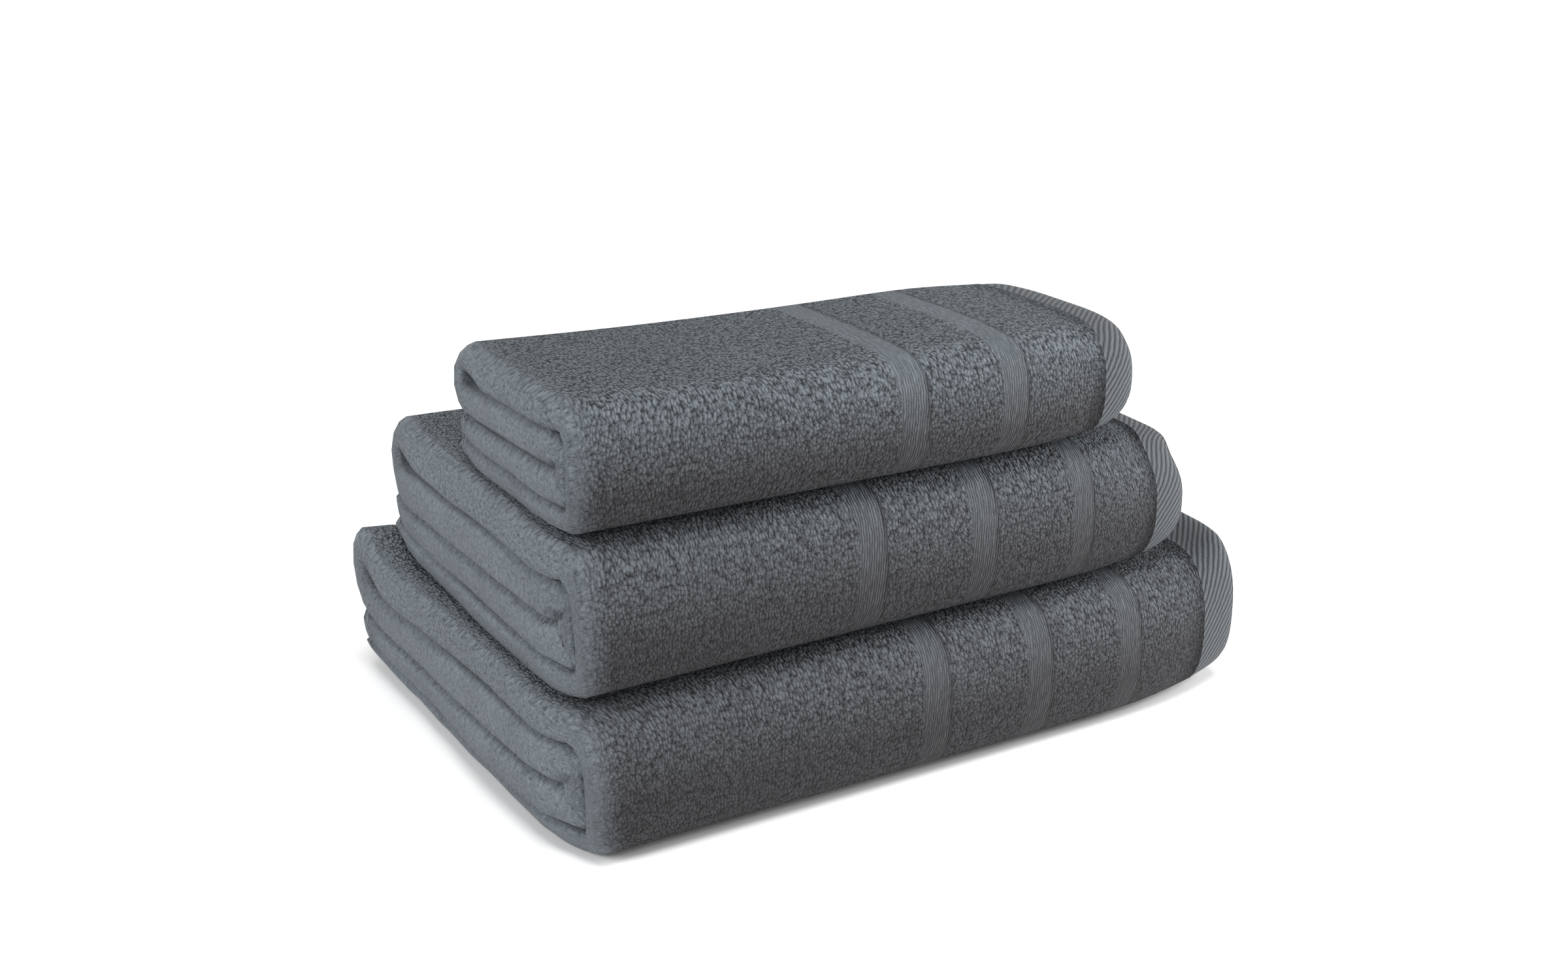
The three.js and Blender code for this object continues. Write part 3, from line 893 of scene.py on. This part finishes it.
def make_end_hem(towel, part, low, high, seam, spacing, weave, thread_look):
    """An end hem between two lines across the cloth, and the row of stitches that closes it."""
    vs = v_lines(towel, 1.2 * MM, 2 * MM, 1.5 * MM, 5 * MM, 0.5 * MM, towel.flat[0] - 0.5 * MM)
    hem = make_hem(towel, f"{towel.name}_{part}_weave", spaced((low, high, spacing)), vs, HEM_HALF)
    add_piece(hem, weave, towel, part)
    thread = make_thread(towel, f"{towel.name}_{part}_stitches", seam)
    add_piece(thread, thread_look, towel, f"{part}_thread")
    return [hem, thread]


def make_side_hem(towel, part, low, high, weave):
    """A side hem between two lines along the cloth."""
    us = spaced((END_HEM, towel.flat[1] - END_HEM, 3 * MM))
    vs = spaced((low, high, 1.5 * MM))
    hem = make_hem(towel, f"{towel.name}_{part}_weave", us, vs, SIDE_HEM_HALF)
    add_piece(hem, weave, towel, part)
    return hem


def make_towel(towel, thread_look):
    """The cloth of one towel with its hems and stitches, on the cloths that it lies on."""
    cloth = make_cloth(towel)
    add_piece(cloth, terry(towel), towel, "pile_cloth")
    width, length = towel.flat
    looks = flat_weave(f"end_weave_{towel.name}", 0.0), thread_look
    hems = make_end_hem(towel, "outer_end_hem", 0, END_HEM, SEAM, 1.5 * MM, *looks)
    hems += make_end_hem(towel, "inner_end_hem", length - END_HEM, length, length - SEAM, 2 * MM, *looks)
    # The side hems are a lighter copy of the end hems' weave, with painted light.
    side_weave = flat_weave(f"side_weave_{towel.name}", SIDE_HEM_PAINTED_LIGHT)
    hems.append(make_side_hem(towel, "outer_side_hem", 0, SIDE_HEM, side_weave))
    hems.append(make_side_hem(towel, "inner_side_hem", width - SIDE_HEM, width, side_weave))
    return cloth


stitch_look = sewing_thread()
below = []
for spec in TOWELS:
    below = [make_towel(Towel(*spec), stitch_look)]

# ---------------------------------------------------------------- floor, lights and camera

# The room is white up to a height, as the sine of the angle above the horizon, and dimmer over that.
WALL = (0.24, 0.36)
WALL_LIGHT = 1.0
ROOM_LIGHT = 0.22
# The two far lights: where each shines from, how many degrees wide it is, and its strength.
LEFT_LIGHT = ((-1.0, -0.12, 0.70), 25, 1.9)
TOP_LIGHT = ((-0.15, -0.36, 1.0), 20, 1.7)
# The near light at the right: where it stands, what it shines at, its size and its strength.
RIGHT_LIGHT_PLACE = Vector((0.72, -0.46, 0.42))
RIGHT_LIGHT_AIM = Vector((0.15, 0, 0.1))
RIGHT_LIGHT_SIZE = 0.4
RIGHT_LIGHT = 7.5
FLOOR_REACH = 20
FLOOR_PAINT = (0.94, 0.94, 0.94)

CAMERA_PLACE = Vector((-0.4446, -0.7613, 0.4074))
CAMERA_AZIMUTH = math.radians(29.35)
CAMERA_DIP = math.radians(19.0)
CAMERA_ROLL = math.radians(-0.3)
CAMERA_LENS = 42.44
CAMERA_SENSOR = 36


def white_room():
    """The world: white walls behind the towels and a dimmer room over them."""
    world = bpy.data.worlds.new("white_room")
    world.use_nodes = True
    sky = world.node_tree
    heading = sky.nodes.new("ShaderNodeTexCoord")
    parts = sky.nodes.new("ShaderNodeSeparateXYZ")
    fade = sky.nodes.new("ShaderNodeMapRange")
    for socket, value in zip(fade.inputs[1:5], (*WALL, WALL_LIGHT, ROOM_LIGHT)):
        socket.default_value = value
    sky.links.new(heading.outputs["Generated"], parts.inputs[0])
    sky.links.new(parts.outputs[2], fade.inputs[0])
    sky.links.new(fade.outputs[0], sky.nodes["Background"].inputs["Strength"])
    sky.nodes["Background"].inputs["Color"].default_value = (1, 1, 1, 1)
    return world


def pale_floor():
    """A large plain floor that the stack stands on."""
    corners = [[-1, -1, 0], [1, -1, 0], [1, 1, 0], [-1, 1, 0]]
    floor = build_mesh("floor", FLOOR_REACH * np.array(corners, float), [(0, 1, 2, 3)], [])
    paint = Nodes("pale_floor")
    paint.shader.inputs["Base Color"].default_value = (*FLOOR_PAINT, 1)
    paint.shader.inputs["Roughness"].default_value = 1.0
    paint.shader.inputs["Specular IOR Level"].default_value = 0.0
    floor.data.materials.append(paint.material)


def far_light(name, place, spread, strength):
    """A wide soft light that shines the same way everywhere, from the direction of a place."""
    light = bpy.data.lights.new(name, "SUN")
    light.angle = math.radians(spread)
    light.energy = strength
    sun = bpy.data.objects.new(name, light)
    sun.location = place
    sun.rotation_euler = Vector(place).to_track_quat("Z", "Y").to_euler()
    bpy.context.scene.collection.objects.link(sun)


def near_light():
    """A soft square panel that lights the right ends."""
    light = bpy.data.lights.new("right_light", "AREA")
    light.size = RIGHT_LIGHT_SIZE
    light.energy = RIGHT_LIGHT
    panel = bpy.data.objects.new("right_light", light)
    panel.location = RIGHT_LIGHT_PLACE
    away = RIGHT_LIGHT_PLACE - RIGHT_LIGHT_AIM
    panel.rotation_euler = away.to_track_quat("Z", "Y").to_euler()
    bpy.context.scene.collection.objects.link(panel)


def photo_camera():
    """A camera at the photograph's viewing angle."""
    camera = bpy.data.objects.new("camera", bpy.data.cameras.new("camera"))
    camera.data.sensor_width = CAMERA_SENSOR
    camera.data.lens = CAMERA_LENS
    camera.location = CAMERA_PLACE
    level = Matrix.Rotation(-CAMERA_AZIMUTH, 3, "Z") @ Matrix.Rotation(math.pi / 2 - CAMERA_DIP, 3, "X")
    camera.rotation_euler = (level @ Matrix.Rotation(CAMERA_ROLL, 3, "Z")).to_euler()
    bpy.context.scene.collection.objects.link(camera)
    return camera


bpy.context.scene.view_settings.view_transform = "Standard"
bpy.context.scene.world = white_room()
pale_floor()
far_light("left_light", *LEFT_LIGHT)
far_light("top_light", *TOP_LIGHT)
near_light()
bpy.context.scene.camera = photo_camera()
